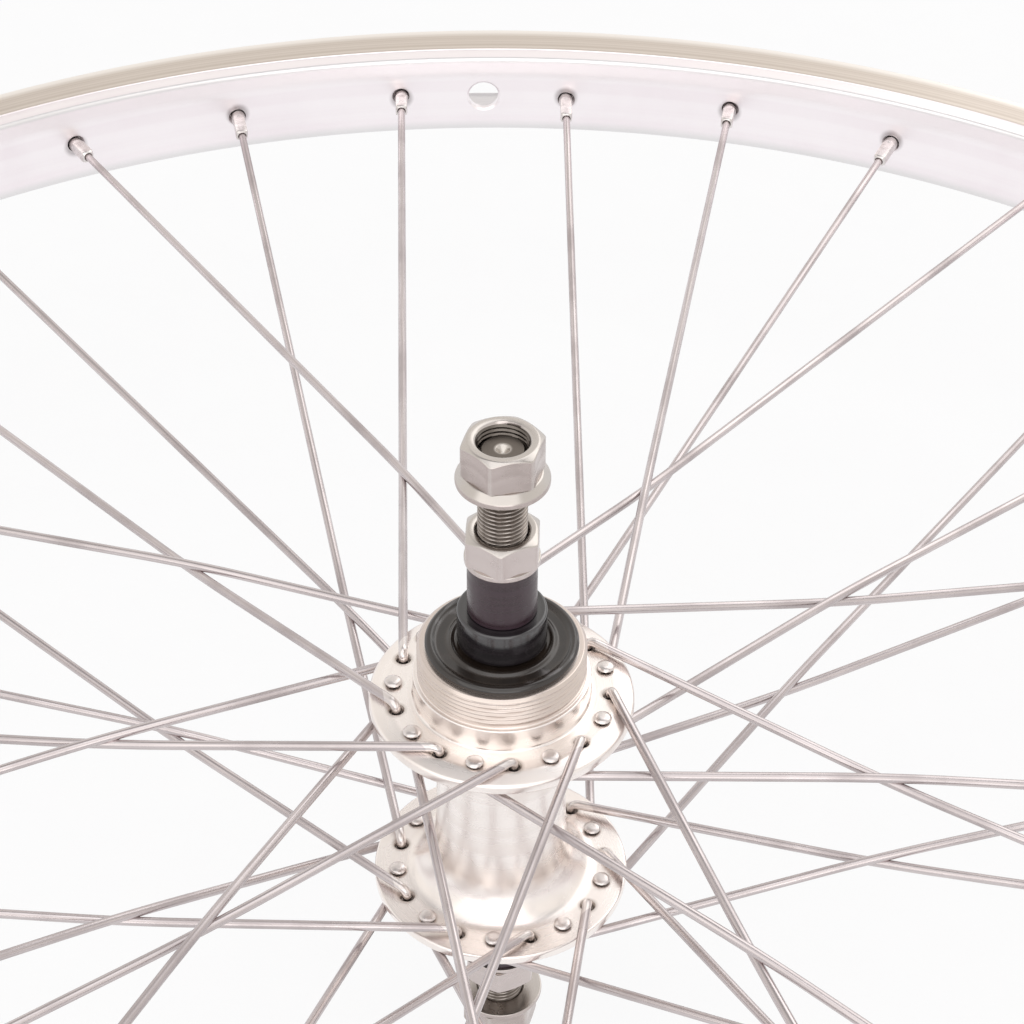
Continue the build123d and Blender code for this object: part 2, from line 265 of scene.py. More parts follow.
# %% Group for turning marks
def new_group(name, inputs, outputs):
    """An empty node group with named float sockets, and its two end nodes."""
    group = bpy.data.node_groups.new(name, "ShaderNodeTree")
    for socket_name, value in inputs.items():
        made = group.interface.new_socket(socket_name, in_out="INPUT", socket_type="NodeSocketFloat")
        made.default_value = value
    for socket_name in outputs:
        group.interface.new_socket(socket_name, in_out="OUTPUT", socket_type="NodeSocketFloat")
    return group, group.nodes.new("NodeGroupInput").outputs, group.nodes.new("NodeGroupOutput").inputs


def place_mm(tree):
    """Radius and height of the shaded point from the spin axis, in millimetres, and its angle round it."""
    place = add_node(tree, "TexCoord").outputs["Object"]
    scaled = add_node(tree, "VectorMath", {"operation": "SCALE"}, {0: place, "Scale": 1 / MM})
    x, y, z = add_node(tree, "SeparateXYZ", (), {0: scaled.outputs[0]}).outputs
    radius = calc(tree, "SQRT", calc(tree, "ADD", times(tree, x, x), times(tree, y, y)))
    return radius, z, calc(tree, "ARCTAN2", y, x)


turning, given, result = new_group(
    "Turning marks", {"Lines per mm": 4.0, "Shift": 0.0, "Broad lines per mm": 0.3}, ("Height", "Tone")
)
radius, height, _ = place_mm(turning)
run = calc(turning, "ADD", calc(turning, "ADD", radius, height), given["Shift"])
fine = times(turning, run, given["Lines per mm"])
broad = times(turning, run, given["Broad lines per mm"])
ring = {"noise_dimensions": "1D"}
fine_noise = add_node(turning, "TexNoise", ring, {"W": fine, "Scale": 1.0, "Detail": 2.0})
broad_noise = add_node(turning, "TexNoise", ring, {"W": broad, "Scale": 1.0, "Detail": 3.0})
plug(turning, result["Height"], fine_noise.outputs[0])
plug(turning, result["Tone"], spread(turning, broad_noise.outputs[0], *NOISE_RANGE))
print("group:", turning.name, [socket.name for socket in turning.interface.items_tree])

# %% [markdown]
# Handling haze is the uneven film that fingers, rain and polish leave on metal. Soft three-dimensional
# noise, the same from every side, dulls the gloss in patches.

# %% Group for handling haze
haze, given, result = new_group("Handling haze", {"Patch mm": 12.0, "From": 0.45, "To": 0.7}, ("Mask",))
place = add_node(haze, "TexCoord").outputs["Object"]
scale = calc(haze, "DIVIDE", 1 / MM, given["Patch mm"])
patches = add_node(haze, "TexNoise", (), {"Vector": place, "Scale": scale, "Detail": 4.0})
plug(haze, result["Mask"], spread(haze, patches.outputs[0], given["From"], given["To"]))
print("group:", haze.name)

# %% [markdown]
# The colour darkens round each hole where a spoke or nipple passes through. The holes repeat evenly, so
# the angle is folded into one hole's share of the circle, and the distance to that hole makes the mask.
# Weights choose between holes in the flat of a flange and in the curved face of the rim.

# %% Group for darkening round holes
darkening, given, result = new_group(
    "Hole grime",
    {"Ring radius": 22.5, "Holes": 18.0, "First angle": 0.0, "Height": 0.0, "Radius weight": 1.0,
     "Height weight": 0.0, "Plain from": 3.0, "Dark within": 1.3},
    ("Mask",),
)
radius, height, angle = place_mm(darkening)
first_turn = calc(darkening, "DIVIDE", given["First angle"], 360.0)
turn = calc(darkening, "SUBTRACT", calc(darkening, "DIVIDE", angle, 2 * pi), first_turn)
turns = calc(darkening, "ADD", times(darkening, turn, given["Holes"]), 0.5)
share = calc(darkening, "SUBTRACT", calc(darkening, "FRACT", turns), 0.5)
pitch = calc(darkening, "DIVIDE", times(darkening, given["Ring radius"], 2 * pi), given["Holes"])
along = times(darkening, share, pitch)
across = times(darkening, calc(darkening, "SUBTRACT", radius, given["Ring radius"]), given["Radius weight"])
above = times(darkening, calc(darkening, "SUBTRACT", height, given["Height"]), given["Height weight"])
squares = [times(darkening, part, part) for part in (along, across, above)]
distance = calc(darkening, "SQRT", calc(darkening, "ADD", calc(darkening, "ADD", squares[0], squares[1]), squares[2]))
near = spread(darkening, distance, given["Dark within"], given["Plain from"])
plug(darkening, result["Mask"], calc(darkening, "SUBTRACT", 1.0, near))
print("group:", darkening.name)

# %% [markdown]
# Edges that are touched, slid over or gripped by a wrench lose their finish first. Cycles knows how
# sharply the surface bends at a point, which makes the mask.

# %% Group for worn edges
worn, given, result = new_group("Worn edges", {"From": 0.52, "To": 0.60}, ("Mask",))
sharpness = add_node(worn, "NewGeometry").outputs["Pointiness"]
plug(worn, result["Mask"], spread(worn, sharpness, given["From"], given["To"]))
print("group:", worn.name)

# %% [markdown]
# ## A metal to start from
# Most pieces of the wheel are metal and differ in colour, gloss and the strength of their marks. One
# function builds that common metal. Colour and roughness vary with rings and haze, and a bump node turns
# the rings into relief. It returns tree and shader, so a finish can lay more colours over the base by
# masks.

# %% Metal with lathe marks
RING_SHARE = 0.45
FINE_PER_BROAD = 9


def place_group(tree, group, values):
    """Outputs of a shared group, placed in a material with its own values."""
    return add_node(tree, "Group", {"node_tree": group}, values).outputs


def new_surface(name):
    """A new material, its node tree and its shader."""
    made = bpy.data.materials.new(name)
    made.use_nodes = True
    return made, made.node_tree, made.node_tree.nodes["Principled BSDF"]


def add_relief(shader, heights, depth_mm):
    """Turns a pattern of heights into relief."""
    tree = shader.id_data
    inputs = {"Strength": 1.0, "Distance": depth_mm * MM, "Height": heights}
    plug(tree, shader.inputs["Normal"], add_node(tree, "Bump", (), inputs).outputs[0])


def tint(shader, mask, colour, share=1.0):
    """Lays a colour over the shader's base, as far as a mask and a share of it say."""
    tree = shader.id_data
    base = shader.inputs["Base Color"]
    plug(tree, base, mix_colour(tree, times(tree, mask, share), base.links[0].from_socket, colour))


def turned_metal(name, colour, shade, gloss, dull, lines, relief_mm, patch, edge=None):
    """A metal that goes from colour to shade by its rings and haze, and from gloss to dull in roughness."""
    made, tree, shader = new_surface(name)
    shader.inputs["Metallic"].default_value = 1.0
    marks = {"Lines per mm": lines, "Broad lines per mm": lines / FINE_PER_BROAD}
    rings = place_group(tree, turning, marks)
    film = place_group(tree, haze, {"Patch mm": patch, "From": 0.42, "To": 0.72})["Mask"]
    tone = calc(tree, "ADD", times(tree, rings["Tone"], RING_SHARE), times(tree, film, 1 - RING_SHARE))
    plug(tree, shader.inputs["Base Color"], mix_colour(tree, tone, rgb(*colour), rgb(*shade)))
    if edge:
        tint(shader, place_group(tree, worn, {})["Mask"], rgb(*edge))
    plug(tree, shader.inputs["Roughness"], spread(tree, tone, 0.0, 1.0, gloss, dull))
    add_relief(shader, rings["Height"], relief_mm)
    return made, tree, shader


print("metal helpers ready")

# %% [markdown]
# Nuts and washers are zinc-plated steel. Faces that point along the axle are painted lighter than the
# flats, as if light fell on them. Locknuts and lock washers get a paler tone, a painted highlight. The
# bores are darkened with painted shade.

# %% Nut finish
NUT_BORE_EDGE = 5.42
LOCKNUT_END = 66.0
END_FACING = (0.25, 0.7)
LOCKNUT_PAINTED_HIGHLIGHT = rgb(0.64, 0.57, 0.555)
END_PAINTED_LIGHT = rgb(0.58, 0.54, 0.51)
BORE_PAINTED_SHADE = rgb(0.17, 0.15, 0.135)

nut_zinc, tree, shader = turned_metal(
    "bright_zinc", colour=(0.54, 0.47, 0.45), shade=(0.44, 0.38, 0.36), gloss=0.20, dull=0.36,
    lines=3.0, relief_mm=0.006, patch=7.0, edge=(0.74, 0.70, 0.67),
)
radius, height, _ = place_mm(tree)
# Painted highlight: locknuts and lock washers, nearer the middle than this height, are painted paler.
inside_locknut_end = calc(tree, "LESS_THAN", calc(tree, "ABSOLUTE", height), LOCKNUT_END)
tint(shader, inside_locknut_end, LOCKNUT_PAINTED_HIGHLIGHT, 0.8)
# Painted light: faces that point along the axle are painted lighter than the flats.
facing = add_node(tree, "TexCoord").outputs["Normal"]
level = calc(tree, "ABSOLUTE", add_node(tree, "SeparateXYZ", (), {0: facing}).outputs["Z"])
tint(shader, spread(tree, level, *END_FACING), END_PAINTED_LIGHT)
# Painted shade: the threaded bores are painted dark.
tint(shader, calc(tree, "LESS_THAN", radius, NUT_BORE_EDGE), BORE_PAINTED_SHADE)
print("material:", nut_zinc.name, len(tree.nodes), "nodes")

# %% [markdown]
# ## Turned pieces
# Rim, hub, caps, collars and washers are bodies of revolution. A section of corner points, each with its
# own rounding, is revolved in code. That keeps the real radius of every edge, where a bevel modifier has
# one width for all, and soft edges are what catches the light on metal.

# %% Section and revolve helpers
ARC_STEPS = 4
EDGE_SHARE = 0.48
MERGE_M = 1e-7
THIN_M = 1e-8
SHARP_ANGLE = radians(38)


def arc(start, corner, end, steps):
    """Points of a smooth bend from a start to an end, pulled towards a corner."""
    shares = [step / steps for step in range(steps + 1)]
    return [start * (1 - t) ** 2 + corner * 2 * t * (1 - t) + end * t**2 for t in shares]


def soften(corners):
    """Points of a closed outline from its (radius, height, rounding) corners, in millimetres."""
    points = []
    for index, (r, z, rounding) in enumerate(corners):
        here = Vector((r, z))
        if rounding == 0:
            points.append(here)
            continue
        to_last = Vector(corners[index - 1][:2]) - here
        to_next = Vector(corners[(index + 1) % len(corners)][:2]) - here
        start = here + to_last.normalized() * min(rounding, EDGE_SHARE * to_last.length)
        end = here + to_next.normalized() * min(rounding, EDGE_SHARE * to_next.length)
        points += arc(start, here, end, ARC_STEPS)
    return points


def clean(mesh):
    """Merges points that fell together, drops faces without area and turns all faces outwards."""
    work = bmesh.new()
    work.from_mesh(mesh)
    bmesh.ops.remove_doubles(work, verts=work.verts, dist=MERGE_M)
    bmesh.ops.dissolve_degenerate(work, edges=work.edges, dist=THIN_M)
    bmesh.ops.recalc_face_normals(work, faces=work.faces)
    work.to_mesh(mesh)
    work.free()
    return mesh


def faces_between(rows, columns, closed):
    """Faces from each row of points to the next, and from the last to the first if closed."""
    faces = []
    for row in range(rows if closed else rows - 1):
        low, high = row * columns, (row + 1) % rows * columns
        for column in range(columns):
            after = (column + 1) % columns
            faces.append((low + column, low + after, high + after, high + column))
    return faces


def turned_mesh(name, outline, columns, shape=None, closed=True):
    """The outline revolved round the spin axis. shape may change a radius by its height and angle."""
    angles = np.arange(columns) * (2 * pi / columns)
    radii, heights = (np.array([[point[k]] * columns for point in outline]) for k in (0, 1))
    if shape:
        radii = shape(radii, heights, np.broadcast_to(angles, radii.shape))
    points = np.stack((radii * np.cos(angles), radii * np.sin(angles), heights), axis=-1) * MM
    faces = faces_between(len(outline), columns, closed)
    return clean(mesh_of(name, points.reshape(-1, 3).tolist(), faces))


def carve(mesh, cutter):
    """The mesh with the cutter's volume taken out of it."""
    blank, tool = show("blank", mesh), show("tool", cutter)
    cut = blank.modifiers.new("cut", "BOOLEAN")
    cut.operation = "DIFFERENCE"
    cut.solver = "EXACT"
    cut.object = tool
    ready = blank.evaluated_get(bpy.context.evaluated_depsgraph_get())
    carved = bpy.data.meshes.new_from_object(ready)
    for part in (blank, tool):
        bpy.data.objects.remove(part)
    return carved


def add_piece(name, mesh, node, material):
    """A finished piece that stands for a node of the frame and rides on its body."""
    mesh.materials.clear()
    mesh.materials.append(material)
    mesh.shade_smooth()
    mesh.set_sharp_from_angle(angle=SHARP_ANGLE)
    piece = show(name, mesh)
    shading = piece.modifiers.new("even_normals", "WEIGHTED_NORMAL")
    shading.keep_sharp = True
    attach(piece, body_of_node[node])
    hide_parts(node)
    return piece


print("turning helpers ready")

# %% [markdown]
# ## Spoke routes
# A three-cross wheel has four sets of nine spokes. Those of a set leave the flange on the same face and
# lean the same way, and each spoke ducks behind its last crossing partner, which interlaces the wheel. A
# route has the points of the solids: head, elbow at the flange, third crossing and rim. A set is written
# as side, flange face and first step at the rim from the valve.

# %% Lay out the lacing
SPOKE_FACE_R = 268.5
HOLE_CIRCLE_R = 22.5
FLANGE_T = 3.2
FLANGE_Z = {1: 20.0, -1: -32.0}
SPOKE_R = 1.0
LACE_GAP = 0.1
ELBOW_RISE = 0.7
SPOKE_HEAD_T = 1.2
RIM_STEP = 10.0
CROSS_ANGLE = 60.0
VALVE_ANGLE = 90.0
NIPPLE_STAGGER = 0.6
SETS = {
    "drive_outer": (1, 1, 0.5),
    "drive_inner": (1, -1, 2.5),
    "left_outer": (-1, 1, -0.5),
    "left_inner": (-1, -1, 1.5),
}
SPOKES_PER_SET = 9
SET_STEP = 4 * RIM_STEP


def polar(r, angle, z):
    """A point at a radius and an angle in degrees round the spin axis."""
    return Vector((r * cos(radians(angle)), r * sin(radians(angle)), z))


def lacing_route(side, face, rim_angle):
    """Head, elbow, third crossing and rim end of one spoke's centre line, in millimetres."""
    lean = side * face
    flange_z = FLANGE_Z[side]
    elbow = polar(HOLE_CIRCLE_R, rim_angle + lean * CROSS_ANGLE, 0)
    rim_end = polar(SPOKE_FACE_R, rim_angle, 0)
    plan = rim_end - elbow
    reach = (elbow.x * rim_end.y - elbow.y * rim_end.x) * -lean / plan.length
    slant = degrees(asin(reach / SPOKE_FACE_R))
    crossing = polar(reach / sin(radians(RIM_STEP + slant)), rim_angle + lean * RIM_STEP, 0)
    share = (crossing - elbow).length / plan.length
    rim_end.z = side * NIPPLE_STAGGER
    crossing.z = flange_z * (1 - share) + rim_end.z * share - lean * (SPOKE_R + LACE_GAP / 2)
    elbow.z = flange_z + lean * (FLANGE_T / 2 + SPOKE_R + ELBOW_RISE)
    head = Vector((elbow.x, elbow.y, flange_z - lean * (FLANGE_T / 2 + SPOKE_HEAD_T)))
    return head, elbow, crossing, rim_end


def round_the_wheel(place):
    """A place and its copies for the other spokes of a set, turned round the axis."""
    turns = [radians(turn * SET_STEP) for turn in range(SPOKES_PER_SET)]
    return [Matrix.Rotation(turn, 4, "Z") @ place for turn in turns]


routes = {}
for name, (side, face, steps) in SETS.items():
    routes[name] = lacing_route(side, face, VALVE_ANGLE + steps * RIM_STEP)
    _, elbow, crossing, rim_end = routes[name]
    length = round((rim_end - elbow).length, 1)
    print(name, "crosses at radius", round(crossing.xy.length, 1), "mm, spoke length", length)

# %% [markdown]
# ## Wire
# A spoke is drawn wire, so it is swept: rings of points follow the centre line, each turned only as much
# as the line bends, so the surface never twists. A curve with a bevel could do it too, but here head,
# elbow and wire get their own radii on one surface, with a UV along the wire for its streaks.

# %% Sweep helpers
FIRST_SIDE = Vector((1, 0, 0))


def swept_mesh(name, stations, sides, power=None):
    """Rings along (point, radius) stations, closed at both ends. power above 2 squares a ring's form."""
    points = [point for point, _ in stations]
    ends = [points[0], *points, points[-1]]
    tangents = [(after - before).normalized() for before, after in zip(ends, ends[2:])]
    side = (FIRST_SIDE - tangents[0] * FIRST_SIDE.dot(tangents[0])).normalized()
    verts, lengths, run = [], [], 0.0
    for index, (point, r) in enumerate(stations):
        if index:
            side = tangents[index - 1].rotation_difference(tangents[index]) @ side
            run += (point - points[index - 1]).length
        lengths.append(run)
        across = tangents[index].cross(side)
        bulge = power[index] if power else 2.0
        for step in range(sides):
            turn = 2 * pi * step / sides
            x, y = cos(turn), sin(turn)
            reach = r / (abs(x) ** bulge + abs(y) ** bulge) ** (1 / bulge)
            verts.append((point + (side * x + across * y) * reach) * MM)
    faces, uvs = faces_between(len(stations), sides, False), []
    for u, u_after in zip(lengths, lengths[1:]):
        for step in range(sides):
            v, v_after = step / sides, (step + 1) / sides
            uvs += [(u, v), (u, v_after), (u_after, v_after), (u_after, v)]
    for ring, order in ((0, -1), (len(stations) - 1, 1)):
        faces.append(tuple(range(ring * sides, (ring + 1) * sides))[::order])
        uvs += [(lengths[ring], 0.5)] * sides
    mesh = mesh_of(name, verts, faces)
    layer = mesh.uv_layers.new(name="wire")
    for loop, uv in zip(layer.data, uvs):
        loop.uv = uv
    return mesh


def bend(before, corner, after, cut, steps):
    """Points of a bend that leaves two straight runs a cut length away from their corner."""
    start = corner + (before - corner).normalized() * cut
    end = corner + (after - corner).normalized() * cut
    return arc(start, corner, end, steps)


print("sweep helpers ready")

# %% [markdown]
# Stainless spoke wire is drawn through a die. Its gloss has fine streaks along the wire, from noise on a
# UV stretched along it, and a slightly darker film in patches. The photograph shows a warm pinkish grey.
# Heads and elbows are pressed after drawing, and are brighter.

# %% Spoke steel
STREAK_STRETCH = (0.02, 9.0, 1.0)
STREAK_DARK, STREAK_BRIGHT = rgb(0.52, 0.47, 0.47), rgb(0.69, 0.63, 0.63)
WIRE_FILM = rgb(0.47, 0.42, 0.42)
HEAD_ZONE_R = 24.6
HEAD_BRIGHT = rgb(0.86, 0.81, 0.78)
STREAK_DEPTH = 0.004

spoke_steel, tree, shader = new_surface("drawn_spoke_steel")
shader.inputs["Metallic"].default_value = 1.0
along = add_node(tree, "UVMap", {"uv_map": "wire"}).outputs[0]
stretched = add_node(tree, "VectorMath", {"operation": "MULTIPLY"}, {0: along, 1: STREAK_STRETCH})
noise = {"Vector": stretched.outputs[0], "Scale": 2.0, "Detail": 4.0}
streaks = add_node(tree, "TexNoise", (), noise).outputs[0]
drawn = mix_colour(tree, spread(tree, streaks, *NOISE_RANGE), STREAK_DARK, STREAK_BRIGHT)
plug(tree, shader.inputs["Base Color"], drawn)
film = place_group(tree, haze, {"Patch mm": 18.0, "From": 0.4, "To": 0.75})["Mask"]
tint(shader, film, WIRE_FILM)
radius, _, _ = place_mm(tree)
tint(shader, calc(tree, "LESS_THAN", radius, HEAD_ZONE_R), HEAD_BRIGHT, 0.6)
plug(tree, shader.inputs["Roughness"], spread(tree, film, 0.0, 1.0, 0.24, 0.40))
add_relief(shader, streaks, STREAK_DEPTH)
print("material:", spoke_steel.name, len(tree.nodes), "nodes")

# %% [markdown]
# Each spoke starts at a flat-domed head, turns through a right angle at the elbow and runs on to its
# nipple with one slight bend at the crossing. One spoke of each set is modelled, and the other eight are
# its mesh turned round the axis in steps of forty degrees.

# %% Spokes
WIRE_SIDES = 14
ELBOW_CUT = 2.0
ELBOW_STEPS = 9
CROSSING_CUT = 14.0
CROSSING_STEPS = 8
NIPPLE_STAND = 9.0
WIRE_IN_NIPPLE = 3.0
HEAD_DOME = (
    (0.0, 0.55), (0.05, 1.05), (0.16, 1.48), (0.34, 1.78), (0.58, 1.90), (0.82, 1.78), (1.08, 1.22)
)
HEAD_FOOT = 1.35
RUN_MM = 16.0


def runs(start, end):
    """Points along a straight run, without its ends."""
    count = max(1, round((end - start).length / RUN_MM))
    return [start.lerp(end, index / count) for index in range(1, count)]


for set_name, (head, elbow, crossing, rim_end) in routes.items():
    shank = (elbow - head).normalized()
    wire_end = rim_end + (crossing - rim_end).normalized() * (NIPPLE_STAND - WIRE_IN_NIPPLE)
    elbow_arc = bend(head, elbow, crossing, ELBOW_CUT, ELBOW_STEPS)
    crossing_arc = bend(elbow, crossing, rim_end, CROSSING_CUT, CROSSING_STEPS)
    line = [head + shank * HEAD_FOOT, *elbow_arc]
    line += [*runs(elbow_arc[-1], crossing_arc[0]), *crossing_arc]
    line += [*runs(crossing_arc[-1], wire_end), wire_end]
    stations = [(head + shank * drop, r) for drop, r in HEAD_DOME] + [(point, SPOKE_R) for point in line]
    first = swept_mesh(f"{set_name}_wire", stations, WIRE_SIDES)
    for number, place in enumerate(round_the_wheel(Matrix.Identity(4)), 1):
        mesh = first.copy()
        mesh.transform(place)
        node = f"{set_name}_spoke_{number}"
        add_piece(f"{node}_wire", mesh, node, spoke_steel)
    print(SPOKES_PER_SET, set_name, "spokes of", len(stations), "rings each")

# %% [markdown]
# ## Nipples
# A nipple is a small nickel-plated brass nut: a slotted head inside the rim, a round neck in its hole and
# four wrench flats towards the hub. One is modelled upright, from rings written as height, radius and
# squareness, then bored and slotted, and copied to all thirty-six holes along the spokes' own directions.

# %% Nipple finish
nipple_nickel, _, _ = turned_metal(
    "nickel_plated_nipple", colour=(0.78, 0.74, 0.73), shade=(0.58, 0.53, 0.52), gloss=0.20, dull=0.42,
    lines=2.0, relief_mm=0.006, patch=3.0, edge=(0.86, 0.83, 0.80),
)
print("material:", nipple_nickel.name)

# %% Nipple form
NIPPLE_SIDES = 24
NIPPLE_BORE_R = 1.06
RIM_BED = 2.1
NIPPLE_HEAD_R = 3.0
NIPPLE_HEAD_T = 1.8
tilts = [(rim_end - crossing).angle(Vector((*rim_end.xy, 0))) for *_, crossing, rim_end in routes.values()]
HEAD_SEAT = RIM_BED + NIPPLE_HEAD_R * tan(max(tilts)) + LACE_GAP / 2
NIPPLE_FORM = (
    (-9.0, 1.28, 2.0), (-8.9, 1.42, 2.2), (-8.6, 1.60, 3.5), (-8.2, 1.65, 7.0), (-2.6, 1.65, 7.0),
    (-2.1, 1.74, 4.0), (-1.6, 1.92, 2.4), (-1.3, 1.95, 2.0), (HEAD_SEAT - 0.5, 1.95, 2.0),
    (HEAD_SEAT - 0.05, 2.30, 2.0), (HEAD_SEAT, 2.78, 2.0), (HEAD_SEAT + 0.12, 2.93, 2.0),
    (HEAD_SEAT + 0.80, 2.93, 2.0), (HEAD_SEAT + 1.15, 2.80, 2.0), (HEAD_SEAT + 1.45, 2.45, 2.0),
    (HEAD_SEAT + 1.66, 1.90, 2.0), (HEAD_SEAT + 1.78, 1.10, 2.0),
)
NIPPLE_BORE = ((-9.5, 1.30), (-9.0, 1.22), (-8.8, NIPPLE_BORE_R), (-5.0, NIPPLE_BORE_R))
SLOT_WIDTH = 1.0
SLOT_DEPTH = 0.9
SLOT_REACH = 4.0
SLOT_OVERRUN = 1.0


def standing(steps):
    """Stations straight up Z from (height, radius) steps."""
    return [(Vector((0, 0, z)), r) for z, r in steps]


def box_mesh(name, low, high):
    """A closed box between two corners, in millimetres."""
    work = bmesh.new()
    bmesh.ops.create_cube(work, size=1.0)
    size = Vector(high) - Vector(low)
    middle = (Vector(high) + Vector(low)) / 2
    for vert in work.verts:
        vert.co = Vector([middle[k] + vert.co[k] * size[k] for k in range(3)]) * MM
    mesh = bpy.data.meshes.new(name)
    work.to_mesh(mesh)
    work.free()
    return mesh


rings = standing([(z, r) for z, r, _ in NIPPLE_FORM])
blank = swept_mesh("nipple", rings, NIPPLE_SIDES, [squareness for _, _, squareness in NIPPLE_FORM])
bore = swept_mesh("bore", standing(NIPPLE_BORE), NIPPLE_SIDES)
crown = HEAD_SEAT + NIPPLE_HEAD_T
slot_low = (-SLOT_WIDTH / 2, -SLOT_REACH, crown - SLOT_DEPTH)
slot_tool = box_mesh("slot", slot_low, (SLOT_WIDTH / 2, SLOT_REACH, crown + SLOT_OVERRUN))
nipple = carve(carve(clean(blank), clean(bore)), slot_tool)
print("nipple:", len(nipple.polygons), "faces, head seat", round(HEAD_SEAT, 2), "mm above the spoke face")

# %% Place the nipples
def scatter(name, mesh, places):
    """One mesh with a copy of another at every place."""
    work = bmesh.new()
    for place in places:
        before = len(work.verts)
        work.from_mesh(mesh)
        work.verts.ensure_lookup_table()
        bmesh.ops.transform(work, matrix=place, verts=work.verts[before:])
    joined = bpy.data.meshes.new(name)
    work.to_mesh(joined)
    work.free()
    return joined


def upright_to(point, axis):
    """A place at a point in millimetres, with its Z along an axis and its X as upright as can be."""
    z_axis = axis.normalized()
    x_axis = (Vector((0, 0, 1)) - z_axis * z_axis.z).normalized()
    turn = Matrix((x_axis, z_axis.cross(x_axis), z_axis)).transposed().to_4x4()
    return Matrix.Translation(point * MM) @ turn


nipple_places = []
for *_, crossing, rim_end in routes.values():
    nipple_places += round_the_wheel(upright_to(rim_end, rim_end - crossing))
add_piece("nipple_set", scatter("nipple_set", nipple, nipple_places), "nipples", nipple_nickel)
print(len(nipple_places), "nipples placed")

# %% [markdown]
# ## Rim
# The rim is one extruded alloy section bent to a hoop: a flat spoke face, shoulders, two machined brake
# tracks that stand a little proud, hooked edges that hold the tyre and a well for it. The section is
# revolved with its real edge radii and drilled, along each spoke for the nipples and radially for the
# valve. A boolean gives true holes with countersunk mouths, as drill and burr tool leave them.

# %% Rim form
RIM_COLUMNS = 360
RIM_HALF = (
    (268.5, 6.5, 1.6), (269.6, 11.15, 0.5), (270.1, 11.65, 0.4), (274.25, 11.65, 0.15),
    (274.6, 12.0, 0.15), (285.0, 12.0, 0.7), (285.0, 8.8, 0.4), (283.6, 9.5, 0.5), (279.5, 9.5, 0.4),
    (279.5, 8.0, 0.4), (270.6, 7.5, 1.2),
)
NIPPLE_DRILL = ((-3.0, 2.75), (-0.35, 2.75), (0.25, 2.22), (7.5, 2.22))
VALVE_DRILL = ((-3.0, 5.05), (-0.25, 5.05), (0.45, 4.25), (6.0, 4.25))
DRILL_SIDES = 28


def drilled(mesh, name, steps, places):
    """The mesh with a countersunk hole at every place, along the place's own Z."""
    drill = clean(swept_mesh(name, standing(steps), DRILL_SIDES))
    return carve(mesh, scatter(f"{name}s", drill, places))


rim_outline = soften([*RIM_HALF, *[(r, -z, rounding) for r, z, rounding in reversed(RIM_HALF)]])
hoop = turned_mesh("rim_hoop", rim_outline, RIM_COLUMNS)
valve_place = upright_to(polar(SPOKE_FACE_R, VALVE_ANGLE, 0), polar(1, VALVE_ANGLE, 0))
hoop = drilled(hoop, "nipple_drill", NIPPLE_DRILL, nipple_places)
hoop = drilled(hoop, "valve_drill", VALVE_DRILL, [valve_place])
print("rim:", len(rim_outline), "points round its section,", len(hoop.polygons), "faces")

# %% [markdown]
# The extrusion is satin anodised, a cool, slightly pink silver with faint lines along the hoop from the
# die. The brake tracks are machined and have lost their film, so they are warmer and browner. A mask by
# place finds them: only the tracks stand out that far from the middle plane. Towards the outer edge they
# get a painted highlight. The well is duller, and greyer by painted shade. A line of painted shade runs
# along the shoulders beside the spoke face, broader on the lower side, and the colour darkens at the
# nipples.

# %% Rim finish
TRACK_INNER_R = 274.5
TRACK_Z = 11.8
TRACK_OUTER_R = 284.4
TRACK_FADE = 3.8
TRACK_LIGHT, TRACK_DARK = rgb(0.71, 0.64, 0.58), rgb(0.61, 0.54, 0.48)
TRACK_PAINTED_HIGHLIGHT = rgb(0.94, 0.90, 0.86)
WELL_FLOOR_R = 270.3
WELL_HALF = 9.7
WELL_PAINTED_SHADE = rgb(0.84, 0.82, 0.83)
WELL_DULLER = 0.22
SHOULDER_R = 270.6
LOW_SHOULDER, HIGH_SHOULDER = (-7.6, -11.0), (10.2, 11.0)
SHOULDER_PAINTED_SHADE = rgb(0.80, 0.785, 0.79)
NIPPLE_HOLE_DARK = rgb(0.22, 0.19, 0.19)

rim_satin, tree, shader = turned_metal(
    "satin_rim_alloy", colour=(0.985, 0.94, 0.96), shade=(0.94, 0.875, 0.905), gloss=0.28, dull=0.42,
    lines=2.4, relief_mm=0.010, patch=30.0,
)
radius, height, _ = place_mm(tree)
out_from_middle = calc(tree, "ABSOLUTE", height)
track = times(
    tree, spread(tree, radius, TRACK_INNER_R - 0.2, TRACK_INNER_R + 0.2),
    spread(tree, out_from_middle, TRACK_Z - 0.15, TRACK_Z + 0.1),
)
machined = place_group(tree, turning, {"Lines per mm": 5.0, "Shift": 3.0, "Broad lines per mm": 0.9})
track_colour = mix_colour(tree, machined["Tone"], TRACK_LIGHT, TRACK_DARK)
# Painted highlight: the tracks are painted paler towards their outer edge.
highlight_edge = spread(tree, radius, TRACK_OUTER_R - TRACK_FADE, TRACK_OUTER_R)
tint(shader, track, mix_colour(tree, highlight_edge, track_colour, TRACK_PAINTED_HIGHLIGHT))
in_well = times(
    tree, spread(tree, radius, WELL_FLOOR_R - 0.2, WELL_FLOOR_R + 0.2),
    calc(tree, "LESS_THAN", out_from_middle, WELL_HALF),
)
# Painted shade: the well is painted greyer than the outside.
tint(shader, in_well, WELL_PAINTED_SHADE)
rough = shader.inputs["Roughness"]
plug(tree, rough, calc(tree, "ADD", rough.links[0].from_socket, times(tree, in_well, WELL_DULLER)))
# Painted shade: a grey line along both shoulders beside the spoke face, broader on the lower side.
shoulders = calc(tree, "ADD", spread(tree, height, *LOW_SHOULDER), spread(tree, height, *HIGH_SHOULDER))
beside_face = spread(tree, radius, SHOULDER_R, SHOULDER_R - 0.5)
tint(shader, times(tree, shoulders, beside_face), SHOULDER_PAINTED_SHADE)
